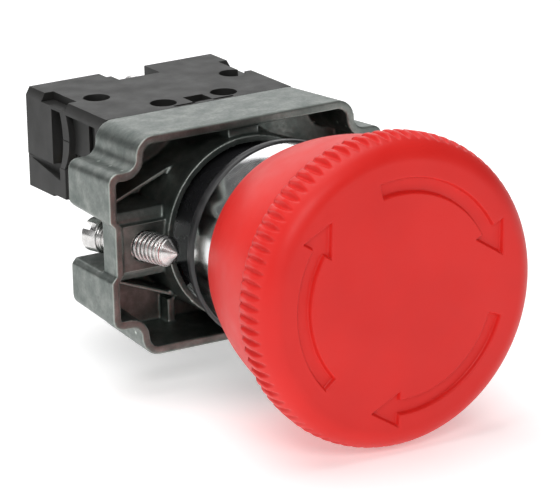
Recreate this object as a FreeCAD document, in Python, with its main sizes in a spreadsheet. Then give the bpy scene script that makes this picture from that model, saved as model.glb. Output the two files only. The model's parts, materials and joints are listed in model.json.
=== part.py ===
import FreeCAD, Part

# Panel emergency stop button: mushroom head, 22 mm barrel, die-cast fixing bracket and one
# normally closed contact block, in millimetres.  The button's axis is Y: the mushroom faces -Y,
# the panel's front lies in the plane Y = 0 and everything behind the panel is at +Y.  Z is up.

import math
import os

import Sketcher
from FreeCAD import Placement, Rotation, Vector

doc = FreeCAD.newDocument("EmergencyStop")


# ---------------------------------------------------------------- driving dimensions

DIMENSIONS = {
    # mushroom head
    "cap_radius": 20.3,
    "cap_face": 30.9,
    "cap_dome": 0.3,
    "cap_round": 3.1,
    "cap_round_depth": 4.0,
    "cap_wall": 1.7,
    "knurl_front": 29.6,
    "knurl_rear": 24.3,
    "knurl_rear_radius": 20.0,
    "knurl_root_radius": 19.6,
    "knurl_groove_radius": 0.5,
    "knurl_count": 85,
    "skirt_top_radius": 18.6,
    "skirt_mid_radius": 17.5,
    "skirt_end_radius": 14.4,
    "skirt_mid": 15.9,
    "skirt_end": 7.2,
    "skirt_edge": 0.7,
    "arrow_outer": 15.3,
    "arrow_inner": 13.3,
    "arrow_depth": 0.55,
    "arrow_tail_angle": 101.0,
    "arrow_head_angle": 26.8,
    "arrow_tip_angle": 10.8,
    "arrow_barb_in": 1.1,
    "arrow_barb_out": 1.65,
    # bezel, barrel and gasket
    "bezel_radius": 13.2,
    "bezel_front": 9.5,
    "bezel_rear": 1.6,
    "bezel_wall": 1.6,
    "bezel_lip_radius": 9.4,
    "bezel_lip": 1.3,
    "bezel_edge": 0.6,
    "bezel_rear_edge": 0.25,
    "barrel_radius": 10.95,
    "barrel_bore": 8.0,
    "barrel_end": 11.0,
    "barrel_chamfer": 0.5,
    "lug_half": 1.6,
    "lug_front": 8.2,
    "lug_rear": 10.2,
    "lug_gap": 0.12,
    "guide_front": 0.2,
    "guide_rear": 3.0,
    "seal_seat": 1.4,
    "seal_seat_radius": 5.6,
    "gasket_radius": 13.4,
    "gasket_bulge": 0.35,
    "seal_section": 0.76,
    "seal_offset": 0.83,
    # stem and latch
    "stem_radius": 4.0,
    "stem_front": 27.6,
    "stem_end": 11.5,
    "neck_radius": 2.45,
    "neck_end": 13.95,
    "ring_groove": 0.6,
    "ring_groove_depth": 0.55,
    "ring_overhang": 1.1,
    "ring_mouth": 1.5,
    "running_gap": 0.05,
    "hub_radius": 6.8,
    "hub_rear": 13.0,
    "pin_radius": 0.9,
    "pin_half": 6.9,
    "pin_rest": 4.6,
    "sleeve_end": 10.6,
    "sleeve_gap": 0.3,
    "sleeve_pin_gap": 0.1,
    "sleeve_swing": 16.0,
    "sleeve_notch": 14.0,
    "press_travel": 4.5,
    "turn_angle": 40.0,
    "pusher_front": 11.55,
    "pusher_rear": 13.15,
    "pusher_half_width": 5.4,
    "pusher_half_height": 9.9,
    "pusher_corner_x": 1.5,
    "pusher_corner_z": 2.5,
    # die-cast bracket
    "frame_front": 6.6,
    "frame_rear": 18.6,
    "frame_wall": 1.15,
    "frame_half_height": 14.75,
    "frame_narrow": 16.45,
    "frame_wide": 20.6,
    "frame_step": 10.5,
    "notch_width": 19.9,
    "notch_low": 3.2,
    "notch_high": 4.0,
    "frame_draft": 3.0,
    "corner_round": 2.6,
    "step_round": 1.4,
    "step_root_round": 1.6,
    "ring_radius": 12.4,
    "ring_bore": 11.5,
    "ring_front": 6.3,
    "web_front": 10.9,
    "web_tip_height": 5.0,
    "web_top_width": 4.7,
    "web_top_height": 10.6,
    "web_wall": 0.5,
    "pocket_rear": 15.0,
    "pocket_angle": 41.6,
    "boss_front": 7.2,
    "boss_half": 3.1,
    "ledge_front": 8.1,
    "ledge_low": 3.6,
    "ledge_back": 8.85,
    "ledge_top": 4.6,
    "post_front": 7.3,
    "post_half": 2.3,
    "post_inner": 11.9,
    "post_margin": 0.9,
    "plate_front": 15.6,
    "rib_front": 13.55,
    "rib_inner": 7.5,
    "rib_outer": 8.65,
    "rib_top": 10.0,
    "rib_margin": 1.35,
    "screw_window_inner": 14.3,
    "screw_window_outer": 22.0,
    "screw_window_half": 3.5,
    "screw_window_front": 10.4,
    "block_screw_hole": 1.0,
    "block_screw_front": 14.5,
    # clamp screws
    "clamp_tip_x": 13.5,
    "clamp_tip_y": 1.8,
    "clamp_tilt": 16.7,
    "clamp_radius": 2.0,
    "clamp_cone": 1.15,
    "clamp_cone_radius": 1.8,
    "clamp_length": 12.7,
    "clamp_head_radius": 2.25,
    "clamp_head": 2.5,
    "clamp_slot": 1.1,
    "clamp_slot_depth": 1.4,
    # contact block
    "block_front": 18.6,
    "block_rear": 39.6,
    "block_half": 14.6,
    "block_low": 0.45,
    "block_seam": 5.0,
    "block_top": 14.1,
    "block_wall": 1.4,
    "rear_notch_half": 3.4,
    "rear_notch_front": 35.3,
    "chamber_front": 20.8,
    "chamber_rear": 32.6,
    "chamber_inner": 7.4,
    "plunger_height": 7.3,
    "plunger_half": 2.2,
    "plunger_front": 13.2,
    "plunger_rear": 30.6,
    "bridge_front": 26.8,
    "bridge_thick": 0.6,
    "terminal_x": 10.4,
    "terminal_y": 29.2,
    "terminal_hole": 1.55,
    "terminal_shank": 1.5,
    "terminal_shank_low": 2.0,
    "terminal_head_radius": 2.55,
    "terminal_head": 2.2,
    "terminal_slot": 0.8,
    "terminal_slot_depth": 1.2,
    "washer_half_width": 2.8,
    "washer_half_length": 3.2,
    "washer_thick": 1.1,
    "strip_thick": 0.8,
    "pad_inner": 7.45,
    "pad_outer": 13.3,
    "pad_front": 25.6,
    "pad_rear": 32.4,
    "tab_inner": 4.0,
    "tab_outer": 6.3,
    "tab_front": 25.0,
    "tab_rear": 25.8,
    "tab_top": 8.9,
    "neck_rear": 28.0,
    "neck_outer": 7.6,
    "tip_radius": 1.0,
    "tip_thick": 0.5,
    "tip_x": 5.2,
    "bridge_half_width": 6.2,
    "bridge_half_height": 0.9,
    "plunger_window": 1.0,
    "plunger_stem": 1.0,
    "plunger_stem_length": 2.4,
    "well_radius": 1.95,
    "well_floor": 10.6,
    "front_well_x": 4.6,
    "front_well_y": 21.5,
    "latch_offset": 0.9,
    "cover_slab": 1.5,
    "block_centre_half": 6.4,
    "block_front_wall": 1.6,
    "block_centre_top": 10.0,
    "base_recess_rear": 25.4,
    "side_rib": 1.1,
    "side_rib_front": 29.3,
    "side_rib_rear": 30.5,
    "side_slot_inner": 12.5,
    "side_slot_front": 28.9,
    "side_slot_rear": 34.8,
    "latch_half": 1.4,
    "latch_front": 19.4,
    "latch_rear": 22.3,
    "latch_floor": 11.0,
    "rear_notch_floor": 11.2,
    "fixing_height": 12.6,
    "fixing_radius": 1.0,
    "fixing_front": 14.7,
    "fixing_head_radius": 1.35,
    "fixing_head": 1.6,
    "fixing_slot": 0.5,
    "fixing_slot_depth": 0.8,
    # springs: coil radius and wire radius
    "return_coil": 5.7,
    "return_wire": 0.42,
    "plunger_coil": 1.5,
    "plunger_wire": 0.2,
    "contact_coil": 0.7,
    "contact_wire": 0.12,
}


class Size:
    """A length that carries both its number and the sheet formula it comes from."""

    def __init__(self, value, formula):
        self.value = float(value)
        self.formula = formula

    def combine(self, other, sign, result):
        text = other.formula if isinstance(other, Size) else repr(float(other))
        return Size(result, f"({self.formula} {sign} {text})")

    def __add__(self, other):
        return self.combine(other, "+", self.value + number(other))

    def __sub__(self, other):
        return self.combine(other, "-", self.value - number(other))

    def __mul__(self, other):
        return self.combine(other, "*", self.value * number(other))

    def __truediv__(self, other):
        return self.combine(other, "/", self.value / number(other))

    def __neg__(self):
        return Size(-self.value, f"(0 - {self.formula})")


def number(size):
    return size.value if isinstance(size, Size) else float(size)


def as_size(size):
    return size if isinstance(size, Size) else Size(size, repr(float(size)))


def write_sheet():
    sheet = doc.addObject("Spreadsheet::Sheet", "Sheet")
    for row, (alias, value) in enumerate(DIMENSIONS.items(), start=1):
        sheet.set(f"A{row}", alias)
        sheet.set(f"B{row}", str(value))
        sheet.setAlias(f"B{row}", alias)
    doc.recompute()
    return {alias: Size(value, f"Sheet.{alias}") for alias, value in DIMENSIONS.items()}


dim = write_sheet()


# ---------------------------------------------------------------- modelling helpers

# Unit step of each origin plane's normal along its own world axis.
PLANE_SIGN = {"XY_Plane": 1.0, "XZ_Plane": -1.0, "YZ_Plane": 1.0}


def bind(obj, name, size):
    setattr(obj, name, number(size))
    obj.setExpression(name, as_size(size).formula)


def new_body(label):
    body = doc.addObject("PartDesign::Body", label)
    body.Label = label
    return body


def new_sketch(body, name, plane, start=0.0):
    """A sketch on one of the body's own origin planes, moved along world +axis by start."""
    sketch = body.newObject("Sketcher::SketchObject", name)
    support = next(item for item in body.Origin.OriginFeatures if item.Role == plane)
    sketch.AttachmentSupport = [(support, "")]
    sketch.MapMode = "FlatFace"
    offset = as_size(start) * PLANE_SIGN[plane]
    sketch.AttachmentOffset = Placement(Vector(0, 0, offset.value), Rotation())
    sketch.setExpression(".AttachmentOffset.Base.z", offset.formula)
    return sketch


def pin_point(sketch, geometry, end, x, y):
    """Hold one point of a sketch at (x, y), measured from the sketch's origin."""
    for size, kind, axis in ((x, "DistanceX", -2), (y, "DistanceY", -1)):
        size = as_size(size)
        if abs(size.value) < 1e-9:
            sketch.addConstraint(Sketcher.Constraint("PointOnObject", geometry, end, axis))
        else:
            index = sketch.addConstraint(
                Sketcher.Constraint(kind, -1, 1, geometry, end, size.value)
            )
            sketch.setExpression(f"Constraints[{index}]", size.formula)


def draw_outline(sketch, points):
    """A closed outline.  A point with a third item is the middle of an arc between its
    neighbours; every other point is a corner."""
    corners = [index for index, point in enumerate(points) if len(point) == 2]
    first = sketch.GeometryCount
    for place, index in enumerate(corners):
        following = corners[(place + 1) % len(corners)]
        start = Vector(number(points[index][0]), number(points[index][1]), 0)
        end = Vector(number(points[following][0]), number(points[following][1]), 0)
        middle = points[(index + 1) % len(points)]
        if len(middle) == 3:
            through = Vector(number(middle[0]), number(middle[1]), 0)
            sketch.addGeometry(Part.Arc(start, through, end))
        else:
            sketch.addGeometry(Part.LineSegment(start, end))
    # An arc drawn clockwise is stored the other way round, so its ends are looked up.
    ends = []
    for place in range(len(corners)):
        index = corners[place]
        start = Vector(number(points[index][0]), number(points[index][1]), 0)
        near = sketch.getPoint(first + place, 1).distanceToPoint(start)
        ends.append((1, 2) if near < 1e-6 else (2, 1))
    for place, index in enumerate(corners):
        previous = (place - 1) % len(corners)
        sketch.addConstraint(
            Sketcher.Constraint(
                "Coincident", first + previous, ends[previous][1], first + place, ends[place][0]
            )
        )
        pin_point(sketch, first + place, ends[place][0], *points[index])
        middle = points[(index + 1) % len(points)]
        if len(middle) == 3:
            marker = sketch.addGeometry(
                Part.Point(Vector(number(middle[0]), number(middle[1]), 0)), True
            )
            pin_point(sketch, marker, 1, middle[0], middle[1])
            sketch.addConstraint(
                Sketcher.Constraint("PointOnObject", marker, 1, first + place)
            )


def draw_circle(sketch, x, y, radius):
    centre = Vector(number(x), number(y), 0)
    index = sketch.addGeometry(Part.Circle(centre, Vector(0, 0, 1), number(radius)))
    pin_point(sketch, index, 3, x, y)
    place = sketch.addConstraint(Sketcher.Constraint("Radius", index, number(radius)))
    sketch.setExpression(f"Constraints[{place}]", as_size(radius).formula)


def box_outline(x_low, x_high, y_low, y_high):
    return [(x_low, y_low), (x_high, y_low), (x_high, y_high), (x_low, y_high)]


def mirrored_outline(quarter):
    """A closed outline from its first-quadrant corners, listed from the x side to the y side."""
    upper_left = [(-x, y) for x, y in reversed(quarter)]
    lower_left = [(-x, -y) for x, y in quarter]
    lower_right = [(x, -y) for x, y in reversed(quarter)]
    return quarter + upper_left + lower_left + lower_right


def extrude(body, name, plane, shapes, start, end, cut=False, taper=None):
    """Pad or pocket from start to end along the plane's world axis.  shapes holds outlines
    (lists) and circles (x, y, radius)."""
    before = body.Shape.Volume if cut else 0.0
    sketch = new_sketch(body, name + "_sketch", plane, start)
    for shape in shapes:
        if isinstance(shape, list):
            draw_outline(sketch, shape)
        else:
            draw_circle(sketch, *shape)
    kind = "PartDesign::Pocket" if cut else "PartDesign::Pad"
    feature = body.newObject(kind, name)
    feature.Profile = sketch
    bind(feature, "Length", as_size(end) - start)
    feature.Reversed = (PLANE_SIGN[plane] < 0) != cut
    if taper is not None:
        bind(feature, "TaperAngle", taper)
    doc.recompute()
    if cut and not body.Shape.Volume < before - 1e-6:
        raise RuntimeError(f"{body.Label}: {name} cut nothing")
    return feature


def cut(body, name, plane, shapes, start, end, taper=None):
    return extrude(body, name, plane, shapes, start, end, True, taper)


def revolve(body, name, outline, groove=False):
    """Turn an outline (radius, position along the axis) about the body's Y axis."""
    before = body.Shape.Volume if groove else 0.0
    sketch = new_sketch(body, name + "_sketch", "XY_Plane")
    draw_outline(sketch, outline)
    feature = body.newObject("PartDesign::Groove" if groove else "PartDesign::Revolution", name)
    feature.Profile = sketch
    feature.ReferenceAxis = (sketch, ["V_Axis"])
    feature.Angle = 360.0
    doc.recompute()
    if groove and not body.Shape.Volume < before - 1e-6:
        raise RuntimeError(f"{body.Label}: {name} cut nothing")
    return feature


def around_axis(body, name, feature, count):
    """Repeat a feature evenly around the Y axis."""
    pattern = body.newObject("PartDesign::PolarPattern", name)
    pattern.Originals = [feature]
    axis = next(item for item in body.Origin.OriginFeatures if item.Role == "Y_Axis")
    pattern.Axis = (axis, [""])
    pattern.Angle = 360.0
    pattern.Occurrences = int(number(count))
    body.Tip = pattern
    doc.recompute()
    return pattern


def fillet(body, name, chosen, radius):
    """Round the edges of the body's tip for which chosen(edge) is true."""
    base = body.Tip
    names = [
        f"Edge{index}" for index, edge in enumerate(base.Shape.Edges, start=1) if chosen(edge)
    ]
    feature = body.newObject("PartDesign::Fillet", name)
    feature.Base = (base, names)
    bind(feature, "Radius", radius)
    doc.recompute()
    return feature


def coil(label, radius, wire, low, high, turns):
    """A compression spring about Y, from low to high, with its wire inside that length."""
    body = new_body(label)
    sketch = new_sketch(body, "wire", "XY_Plane")
    draw_circle(sketch, radius, as_size(low) + wire, wire)
    helix = body.newObject("PartDesign::AdditiveHelix", "helix")
    helix.Profile = sketch
    helix.ReferenceAxis = (sketch, ["V_Axis"])
    helix.Mode = 2
    bind(helix, "Height", as_size(high) - low - as_size(wire) * 2)
    helix.Turns = turns
    doc.recompute()
    return body


def move(body, placement):
    body.Placement = placement
    doc.recompute()


# ---------------------------------------------------------------- mushroom head

def polar(radius, degrees):
    angle = math.radians(degrees)
    return radius * math.cos(angle), radius * math.sin(angle)


def make_mushroom_cap():
    """Hollow red head: domed face, knurled rim, flared skirt that slides over the bezel and a
    hub that grips the stem."""
    body = new_body("mushroom_cap")
    face_edge = dim["cap_face"] - dim["cap_dome"]
    rim_radius = dim["cap_radius"] - dim["cap_round"]
    arc_inset = 1 - math.cos(math.radians(45))
    dome_middle = dim["cap_face"] - dim["cap_dome"] * 0.25
    inner_face = dim["cap_face"] - dim["cap_wall"]
    shoulder = dim["knurl_rear"] - 0.5
    bore = dim["skirt_end_radius"] - dim["skirt_edge"]
    clear_depth = dim["bezel_front"] + dim["press_travel"]
    outline = [
        (0, -dim["cap_face"]),
        (rim_radius * 0.5, -dome_middle, "arc"),
        (rim_radius, -face_edge),
        (
            dim["cap_radius"] - dim["cap_round"] * arc_inset,
            -(face_edge - dim["cap_round_depth"] * arc_inset),
            "arc",
        ),
        (dim["cap_radius"], -(face_edge - dim["cap_round_depth"])),
        (dim["knurl_rear_radius"], -dim["knurl_rear"]),
        (dim["skirt_top_radius"], -shoulder),
        (dim["skirt_mid_radius"], -dim["skirt_mid"], "arc"),
        (dim["skirt_end_radius"], -dim["skirt_end"]),
        (bore, -dim["skirt_end"]),
        (bore, -clear_depth),
        (dim["skirt_top_radius"] - dim["cap_wall"], -shoulder),
        (dim["skirt_top_radius"] - dim["cap_wall"], -inner_face),
        (dim["hub_radius"], -inner_face),
        (dim["hub_radius"], -dim["hub_rear"]),
        (dim["stem_radius"], -dim["hub_rear"]),
        (dim["stem_radius"], -dim["stem_front"]),
        (0, -dim["stem_front"]),
    ]
    revolve(body, "shell", outline)

    tail = dim["arrow_tail_angle"].value
    head = dim["arrow_head_angle"].value
    tip = dim["arrow_tip_angle"].value
    middle = (tail + head) / 2
    arrow = [
        polar(dim["arrow_outer"], tail),
        polar(dim["arrow_inner"], tail),
        (*polar(dim["arrow_inner"], middle), "arc"),
        polar(dim["arrow_inner"], head),
        polar(dim["arrow_inner"] - dim["arrow_barb_in"], head),
        polar(dim["arrow_outer"], tip),
        polar(dim["arrow_outer"] + dim["arrow_barb_out"], head),
        polar(dim["arrow_outer"], head),
        (*polar(dim["arrow_outer"], middle), "arc"),
    ]
    floor = face_edge - dim["arrow_depth"]
    engraving = cut(body, "arrow", "XZ_Plane", [arrow], -(dim["cap_face"] + 1), -floor)
    around_axis(body, "arrows", engraving, 3)

    # The scallops run parallel to the axis and fade out on the rounded edge.
    centre = dim["knurl_root_radius"] + dim["knurl_groove_radius"]
    scallop = (centre, 0, dim["knurl_groove_radius"])
    groove_rear = dim["knurl_rear"] - dim["knurl_groove_radius"]
    groove = cut(body, "scallop", "XZ_Plane", [scallop], -dim["knurl_front"], -groove_rear)
    around_axis(body, "knurling", groove, dim["knurl_count"])
    return body


def make_stem():
    """Stem with a cross hole for the latch pin and a necked end for the pusher plate."""
    body = new_body("plunger_stem")
    groove_radius = dim["neck_radius"] - dim["ring_groove_depth"]
    groove_front = dim["pusher_rear"] + dim["running_gap"]
    groove_rear = groove_front + dim["ring_groove"]
    revolve(
        body,
        "turned_stem",
        [
            (0, -dim["stem_front"]),
            (dim["stem_radius"], -dim["stem_front"]),
            (dim["stem_radius"], dim["stem_end"]),
            (dim["neck_radius"], dim["stem_end"]),
            (dim["neck_radius"], groove_front),
            (groove_radius, groove_front),
            (groove_radius, groove_rear),
            (dim["neck_radius"], groove_rear),
            (dim["neck_radius"], dim["neck_end"]),
            (0, dim["neck_end"]),
        ],
    )
    reach = dim["stem_radius"] + 1
    cut(
        body, "pin_hole", "YZ_Plane", [(dim["pin_rest"], 0, dim["pin_radius"])], -reach, reach
    )
    return body


def make_latch_pin():
    body = new_body("latch_cross_pin")
    extrude(
        body,
        "pin",
        "YZ_Plane",
        [(dim["pin_rest"], 0, dim["pin_radius"])],
        -dim["pin_half"],
        dim["pin_half"],
    )
    return body


def make_retaining_ring():
    """Open spring ring in the stem's groove, behind the pusher plate."""
    body = new_body("stem_retaining_ring")
    front = dim["pusher_rear"] + dim["running_gap"]
    rear = front + dim["ring_groove"]
    inner = dim["neck_radius"] - dim["ring_groove_depth"] + dim["running_gap"]
    outer = dim["neck_radius"] + dim["ring_overhang"]
    extrude(body, "ring", "XZ_Plane", [(0, 0, outer), (0, 0, inner)], front, rear)
    mouth = box_outline(-dim["ring_mouth"], dim["ring_mouth"], -outer * 1.2, 0)
    cut(body, "mouth", "XZ_Plane", [mouth], front - 1, rear + 1)
    return body


def make_pusher_plate():
    """Plate on the stem's neck that passes the press on to the contact block."""
    body = new_body("pusher_plate")
    width = dim["pusher_half_width"]
    height = dim["pusher_half_height"]
    hole = dim["neck_radius"] + dim["running_gap"]
    side_end = (width, height - dim["pusher_corner_z"])
    top_end = (width - dim["pusher_corner_x"], height)
    outline = mirrored_outline([side_end, top_end])
    shapes = [outline, (0, 0, hole)]
    extrude(body, "plate", "XZ_Plane", shapes, dim["pusher_front"], dim["pusher_rear"])
    return body


# ---------------------------------------------------------------- bezel, barrel and seals

def make_bezel():
    body = new_body("bezel_ring")
    bore = dim["bezel_radius"] - dim["bezel_wall"]
    lip_rear = dim["bezel_front"] - dim["bezel_lip"]
    edge = dim["bezel_edge"]
    rear_edge = dim["bezel_rear_edge"]
    arc_inset = 1 - math.cos(math.radians(45))
    revolve(
        body,
        "ring",
        [
            (dim["bezel_lip_radius"], -dim["bezel_front"]),
            (dim["bezel_radius"] - edge, -dim["bezel_front"]),
            (
                dim["bezel_radius"] - edge * arc_inset,
                -(dim["bezel_front"] - edge * arc_inset),
                "arc",
            ),
            (dim["bezel_radius"], -(dim["bezel_front"] - edge)),
            (dim["bezel_radius"], -(dim["bezel_rear"] + rear_edge)),
            (dim["bezel_radius"] - rear_edge, -dim["bezel_rear"]),
            (bore, -dim["bezel_rear"]),
            (bore, -lip_rear),
            (dim["bezel_lip_radius"], -lip_rear),
        ],
    )
    return body


def make_barrel():
    """Threadless black barrel: flange held in the bezel, stem guide, seal seat and three lugs."""
    body = new_body("head_barrel")
    flange = dim["bezel_radius"] - dim["bezel_wall"]
    flange_front = dim["bezel_front"] - dim["bezel_lip"]
    guide = dim["stem_radius"] + dim["running_gap"]
    revolve(
        body,
        "tube",
        [
            (dim["barrel_bore"], -flange_front),
            (flange, -flange_front),
            (flange, -dim["bezel_rear"]),
            (dim["barrel_radius"], -dim["bezel_rear"]),
            (dim["barrel_radius"], dim["barrel_end"] - dim["barrel_chamfer"]),
            (dim["barrel_radius"] - dim["barrel_chamfer"], dim["barrel_end"]),
            (dim["barrel_bore"], dim["barrel_end"]),
            (dim["barrel_bore"], dim["guide_rear"]),
            (dim["seal_seat_radius"], dim["guide_rear"]),
            (dim["seal_seat_radius"], dim["seal_seat"]),
            (guide, dim["seal_seat"]),
            (guide, dim["guide_front"]),
            (dim["barrel_bore"], dim["guide_front"]),
        ],
    )
    lug_top = dim["ring_bore"] - dim["lug_gap"]
    lug = box_outline(-dim["lug_half"], dim["lug_half"], dim["barrel_radius"] - 1, lug_top)
    feature = extrude(body, "lug", "XZ_Plane", [lug], dim["lug_front"], dim["lug_rear"])
    around_axis(body, "lugs", feature, 3)
    return body


def make_gasket():
    body = new_body("panel_gasket")
    inner = dim["barrel_radius"] + dim["running_gap"]
    middle = dim["bezel_rear"] * 0.5
    flat = dim["gasket_radius"] - dim["gasket_bulge"]
    revolve(
        body,
        "washer",
        [
            (inner, -dim["bezel_rear"]),
            (flat, -dim["bezel_rear"]),
            (dim["gasket_radius"], -middle, "arc"),
            (flat, 0),
            (inner, 0),
        ],
    )
    return body


def make_stem_seal():
    """O-ring in the seat behind the stem guide."""
    body = new_body("stem_seal")
    centre = dim["stem_radius"] + dim["seal_offset"]
    middle = (dim["seal_seat"] + dim["guide_rear"]) / 2
    sketch = new_sketch(body, "section", "XY_Plane")
    draw_circle(sketch, centre, middle, dim["seal_section"])
    feature = body.newObject("PartDesign::Revolution", "ring")
    feature.Profile = sketch
    feature.ReferenceAxis = (sketch, ["V_Axis"])
    feature.Angle = 360.0
    doc.recompute()
    return body


def sector(radius, low, high):
    """A wedge about the axis, with its rim in four chords."""
    steps = 4
    angles = [low + (high - low) * step / steps for step in range(steps + 1)]
    return [(0, 0)] + [polar(as_size(radius), angle) for angle in angles]


def make_latch_sleeve():
    """Cam sleeve: two windows let the cross pin travel and turn, and a side notch at the deep
    end holds it when the head is pressed."""
    body = new_body("latch_cam_sleeve")
    bore = dim["stem_radius"] + dim["sleeve_gap"]
    outer = dim["barrel_bore"]
    front = dim["guide_rear"]
    extrude(body, "tube", "XZ_Plane", [(0, 0, outer), (0, 0, bore)], front, dim["sleeve_end"])
    window_front = dim["pin_rest"] - dim["pin_radius"] - dim["sleeve_pin_gap"]
    reach = outer + 2
    clearance = dim["sleeve_swing"].value
    window = sector(reach, -(dim["turn_angle"].value + clearance), clearance)
    feature = cut(
        body, "window", "XZ_Plane", [window], window_front, dim["sleeve_end"] + 1
    )
    around_axis(body, "windows", feature, 2)
    hook_front = window_front + dim["press_travel"]
    notch = sector(reach, clearance - 1, clearance + dim["sleeve_notch"].value)
    feature = cut(body, "notch", "XZ_Plane", [notch], hook_front, dim["sleeve_end"] + 1)
    around_axis(body, "notches", feature, 2)
    return body


# ---------------------------------------------------------------- die-cast bracket

def frame_outline(inset):
    """The stepped frame: narrow top and bottom, wide middle, a jog beside each clamp screw."""
    return mirrored_outline(
        [
            (dim["notch_width"] - inset, dim["notch_low"]),
            (dim["frame_wide"] - inset, dim["notch_high"]),
            (dim["frame_wide"] - inset, dim["frame_step"] - inset),
            (dim["frame_narrow"] - inset, dim["frame_step"] - inset),
            (dim["frame_narrow"] - inset, dim["frame_half_height"] - inset),
        ]
    )


def depth_edges(x, z, inset):
    """A test for the frame's long edges through the four corners at (x, z)."""
    corner_x = number(x) - inset
    corner_z = number(z) - inset
    front = dim["frame_front"].value

    def chosen(edge):
        for vertex in edge.Vertexes:
            point = vertex.Point
            if abs(point.y - front) < 1e-3:
                near = abs(abs(point.x) - corner_x) < 0.02 and abs(abs(point.z) - corner_z) < 0.02
                if near and abs(edge.Vertexes[0].Y - edge.Vertexes[-1].Y) > 1:
                    return True
        return False

    return chosen


def both_sides(outline):
    """An outline and its mirror image across the plane X = 0."""
    flipped = [(-point[0], *point[1:]) for point in outline]
    return [outline, flipped[::-1]]


def four_corners(outline):
    """An outline and its three mirror images across X = 0 and Z = 0."""
    below = [(point[0], -as_size(point[1]), *point[2:]) for point in outline][::-1]
    return both_sides(outline) + both_sides(below)


def make_bracket():
    body = new_body("bracket_casting")
    front, rear, wall = dim["frame_front"], dim["frame_rear"], dim["frame_wall"]
    draft = -dim["frame_draft"]
    extrude(body, "block", "XZ_Plane", [frame_outline(0)], front, rear, taper=draft)
    corners = (
        ("top_corners", dim["frame_narrow"], dim["frame_half_height"], dim["corner_round"]),
        ("step_corners", dim["frame_wide"], dim["frame_step"], dim["step_round"]),
        ("step_roots", dim["frame_narrow"], dim["frame_step"], dim["step_root_round"]),
    )
    for name, x, z, radius in corners:
        fillet(body, name, depth_edges(x, z, 0), radius)
    cut(
        body,
        "hollow",
        "XZ_Plane",
        [frame_outline(wall)],
        front,
        dim["plate_front"],
        taper=draft,
    )
    for name, x, z, radius in corners:
        inner_radius = radius + wall if name == "step_roots" else radius - wall
        inner_radius = max(inner_radius, as_size(0.4), key=number)
        fillet(body, "inner_" + name, depth_edges(x, z, wall.value), inner_radius)

    overlap = dim["plate_front"] + 0.4
    extrude(
        body, "ring", "XZ_Plane", [(0, 0, dim["ring_radius"])], dim["ring_front"], overlap
    )
    web_end = dim["notch_width"] - 1.0
    web = mirrored_outline(
        [(web_end, dim["web_tip_height"]), (dim["web_top_width"], dim["web_top_height"])]
    )
    extrude(body, "web", "XZ_Plane", [web], dim["web_front"], overlap)
    slope = (dim["web_top_height"] - dim["web_tip_height"]) / (web_end - dim["web_top_width"])
    pocket_end = web_end - 1.3
    pocket_low = dim["boss_half"] + 0.1
    pocket_high = dim["web_tip_height"] - dim["web_wall"] + slope * (web_end - pocket_end).value
    low_angle = math.degrees(math.asin(pocket_low.value / dim["ring_radius"].value))
    high_angle = dim["pocket_angle"].value
    pocket = [
        (pocket_end, pocket_low),
        (polar(dim["ring_radius"], low_angle)[0], pocket_low),
        (*polar(dim["ring_radius"], (low_angle + high_angle) / 2), "arc"),
        polar(dim["ring_radius"], high_angle),
        (pocket_end, pocket_high),
    ]
    for place, shape in enumerate(four_corners(pocket)):
        depth = (dim["web_front"], dim["pocket_rear"])
        cut(body, f"pocket_{place}", "XZ_Plane", [shape], *depth)
    inside = dim["ring_radius"] - 0.6
    for place, side in enumerate((1, -1)):
        ledge = [
            (dim["ledge_front"], side * 3.0),
            (dim["ledge_front"] + 0.1, dim["ledge_low"] * side),
            (dim["ledge_back"], dim["ledge_top"] * side),
            (overlap, dim["ledge_top"] * side),
            (overlap, side * 3.0),
        ]
        reach = web_end - 0.2
        extrude(body, f"ledge_right_{place}", "YZ_Plane", [ledge], inside, reach)
        extrude(body, f"ledge_left_{place}", "YZ_Plane", [ledge], -reach, -inside)
    boss = box_outline(inside, web_end, -dim["boss_half"], dim["boss_half"])
    for place, shape in enumerate(both_sides(boss)):
        extrude(body, f"boss_{place}", "XZ_Plane", [shape], dim["boss_front"], overlap)
    post_ends = (dim["post_inner"].value, dim["frame_half_height"] - dim["post_margin"])
    for place, side in enumerate((1, -1)):
        ends = sorted(side * number(end) for end in post_ends)
        post = box_outline(-dim["post_half"], dim["post_half"], ends[0], ends[1])
        extrude(body, f"post_{place}", "XZ_Plane", [post], dim["post_front"], overlap)
    rib_low = dim["frame_half_height"] - dim["rib_margin"]
    rib = box_outline(dim["rib_inner"], dim["rib_outer"], -rib_low, -dim["rib_top"])
    for place, shape in enumerate(both_sides(rib)):
        extrude(body, f"rib_{place}", "XZ_Plane", [shape], dim["rib_front"], overlap)
    cut(body, "bore", "XZ_Plane", [(0, 0, dim["ring_bore"])], dim["ring_front"] - 1, rear + 1)
    window_half = dim["screw_window_half"]
    window = box_outline(
        dim["screw_window_inner"], dim["screw_window_outer"], -window_half, window_half
    )
    for place, shape in enumerate(both_sides(window)):
        depth = (dim["screw_window_front"], rear + 1)
        cut(body, f"screw_window_{place}", "XZ_Plane", [shape], *depth)
    heights = (dim["fixing_height"], -dim["fixing_height"])
    screw_holes = [(0, height, dim["block_screw_hole"]) for height in heights]
    cut(body, "block_screw_holes", "XZ_Plane", screw_holes, dim["block_screw_front"], rear + 1)

    drills = []
    for side, name in ((-1, "left"), (1, "right")):
        drill = doc.addObject("Part::Cylinder", f"clamp_drill_{name}")
        bind(drill, "Radius", dim["clamp_radius"] + dim["running_gap"])
        drill.Height = 24
        drill.Placement = clamp_placement(side).multiply(
            Placement(Vector(0, 0, 0), Rotation(Vector(1, 0, 0), -90))
        )
        drills.append(drill)
    tools = doc.addObject("Part::MultiFuse", "clamp_drills")
    tools.Shapes = drills
    bracket = doc.addObject("Part::Cut", "fixing_bracket")
    bracket.Base = body
    bracket.Tool = tools
    bracket.Label = "fixing_bracket"
    doc.recompute()
    return bracket


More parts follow.
